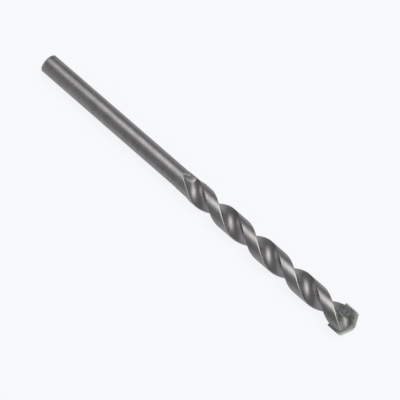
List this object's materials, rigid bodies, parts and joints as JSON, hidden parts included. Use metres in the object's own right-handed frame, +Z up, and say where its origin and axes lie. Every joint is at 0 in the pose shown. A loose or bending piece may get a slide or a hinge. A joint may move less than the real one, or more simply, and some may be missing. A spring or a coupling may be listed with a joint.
{
  "type": "masonry drill bit",
  "caption": "Masonry drill bit with a plain round shank, two right-hand helical flutes and a carbide plate brazed across a roof-shaped point.",
  "frame": {"origin": "centre of the shank's flat end face, on the bit's axis", "axes": "+X along the bit's axis from the shank to the point, +Z up as the bit lies on its side, +Y across it"},
  "size_m": [0.1, 0.007, 0.0058],
  "materials": {
    "rolled_steel": "satin, rolled and blasted",
    "tungsten_carbide": "ground, fine matt grey",
    "braze": "dull, oxidised"
  },
  "bodies": {
    "root": {"drill_body": "rolled_steel", "carbide_plate": "tungsten_carbide", "braze_film": "braze"}
  },
  "joints": []
}
